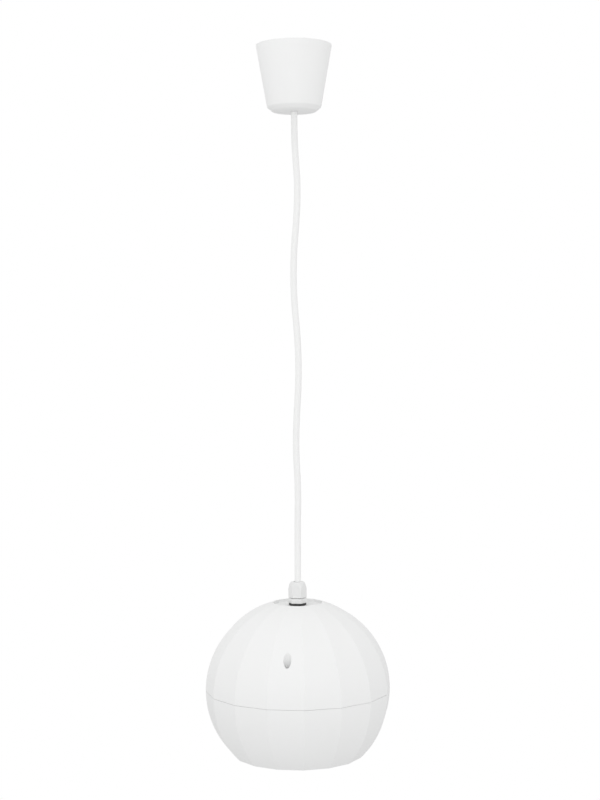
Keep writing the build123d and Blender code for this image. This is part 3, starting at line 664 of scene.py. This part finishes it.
def add_all_screws():
    """Each kind of screw, with its heads where the CAD node's heads are."""
    _, high = corner_mm("shell_screws")
    places = [(0, side * BALL_SCREW_DISTANCE, high.z - PAN_HEIGHT) for side in SIDES]
    add_screws("ball_screws", "shell_screws", places, UP, radius=1.9, length=19.0)

    low, _ = corner_mm("driver_screws")
    spot = BASKET_SCREW_CIRCLE * sqrt(0.5)
    places = [(x * spot, y * spot, low.z + PAN_HEIGHT) for x in SIDES for y in SIDES]
    add_screws("basket_screws", "driver_screws", places, DOWN, radius=1.4, length=9.5)

    low, high = corner_mm("saddle_screws")
    middle = (low.z + high.z) / 2
    places = [(side * SADDLE_SCREW_SIDE, low.y + PAN_HEIGHT, middle) for side in SIDES]
    add_screws("clamp_screws", "saddle_screws", places, FRONT, radius=1.4, length=4.7)

    low, high = corner_mm("block_screw")
    places = [(0, low.y + PAN_HEIGHT, (low.z + high.z) / 2)]
    add_screws("block_fixing", "block_screw", places, FRONT, radius=1.15, length=11.5)

    low, _ = corner_mm("transformer_screws")
    places = [(side * BRACKET_SCREW_SIDE, BRACKET_SCREW_BACK, low.z + PAN_HEIGHT) for side in SIDES]
    add_screws("bracket_screws", "transformer_screws", places, DOWN, radius=1.5, length=9.0)


# Wadding
WADDING_CUTS = 5
WADDING_SMOOTHINGS = 6
WADDING_FACTOR = 0.35


def add_wadding():
    """Soft lumps in place of the plain pads."""
    shape = bmesh.new()
    shape.from_mesh(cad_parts["damping_pads"].data)
    bmesh.ops.remove_doubles(shape, verts=shape.verts, dist=SAME_PLACE)
    bmesh.ops.subdivide_edges(shape, edges=shape.edges, cuts=WADDING_CUTS, use_grid_fill=True)
    for _ in range(WADDING_SMOOTHINGS):
        bmesh.ops.smooth_vert(shape, verts=shape.verts, factor=WADDING_FACTOR)
    mesh = smooth(to_mesh(shape, "wadding_pads"), pi)
    piece = add_piece("wadding_pads", mesh, "wadding", HOUSING, "damping_pads")


# Stage and lamps. A lamp is its name, place, size and power. Its place is as the camera sees it, with
# x to the camera's right and y away from it.
FLOOR_HEIGHT = -2.4
FLOOR_SIZE = 12.0
FLOOR_COLOUR = (0.80, 0.80, 0.80, 1.0)
WHITE = (1.0, 1.0, 1.0, 1.0)
AMBIENT = 0.79
LAMP_AIM = Vector((0, 0, -0.45))
LAMPS = [
    ("front", (0.0, -2.3, -0.3), 1.6, 8.5),
    ("right", (2.0, -1.15, -0.3), 1.6, 4.2),
    ("left", (-2.16, -0.8, -0.3), 1.6, 4.8),
    ("top", (-0.3, -0.5, 1.7), 1.4, 6.2),
]


def seen_directly(nodes):
    """1 for rays that show the surroundings to the camera, straight or in gloss or glass."""
    rays = nodes.add("ShaderNodeLightPath").outputs
    straight_or_gloss = nodes.largest(rays["Is Camera Ray"], rays["Is Glossy Ray"])
    return nodes.largest(straight_or_gloss, rays["Is Transmission Ray"])


def add_world():
    """Even light from all round, seen as white."""
    world = bpy.data.worlds.new("studio")
    bpy.context.scene.world = world
    nodes = Nodes(world)
    ambient = nodes.add("ShaderNodeBackground", Color=WHITE, Strength=AMBIENT)
    white = nodes.add("ShaderNodeBackground", Color=WHITE, Strength=1.0)
    surface = nodes.mix_shaders(seen_directly(nodes), ambient, white)
    nodes.add("ShaderNodeOutputWorld", Surface=surface)


def add_floor():
    """A pale floor at room height, seen as white."""
    material = bpy.data.materials.new("floor_paint")
    nodes = Nodes(material)
    paint = nodes.add("ShaderNodeBsdfDiffuse", Color=FLOOR_COLOUR)
    white = nodes.add("ShaderNodeEmission", Color=WHITE, Strength=1.0)
    surface = nodes.mix_shaders(seen_directly(nodes), paint, white)
    nodes.add("ShaderNodeOutputMaterial", Surface=surface)
    bpy.ops.mesh.primitive_plane_add(size=FLOOR_SIZE, location=(0, 0, FLOOR_HEIGHT))
    floor = bpy.context.object
    floor.name = "floor"
    floor.data.materials.append(material)


def add_lamps():
    """Soft round studio lamps, turned with the camera."""
    turn = Matrix.Rotation(CAMERA_AZIMUTH, 4, "Z")
    for name, place, size, power in LAMPS:
        data = bpy.data.lights.new(name, "AREA")
        data.shape = "DISK"
        data.size = size
        data.energy = power
        lamp = bpy.data.objects.new(name, data)
        lamp.location = turn @ Vector(place)
        lamp.rotation_mode = "QUATERNION"
        lamp.rotation_quaternion = (LAMP_AIM - lamp.location).to_track_quat("-Z", "Y")
        link(lamp)


bpy.context.scene.view_settings.view_transform = "Standard"
add_camera()
add_cord()
dress_cad_nodes()
add_cup()
add_gland_nut()
add_washer()
add_grille()
add_cone()
add_dust_cap()
add_gasket()
add_surround()
add_spider()
add_all_screws()
add_wadding()
add_world()
add_floor()
add_lamps()
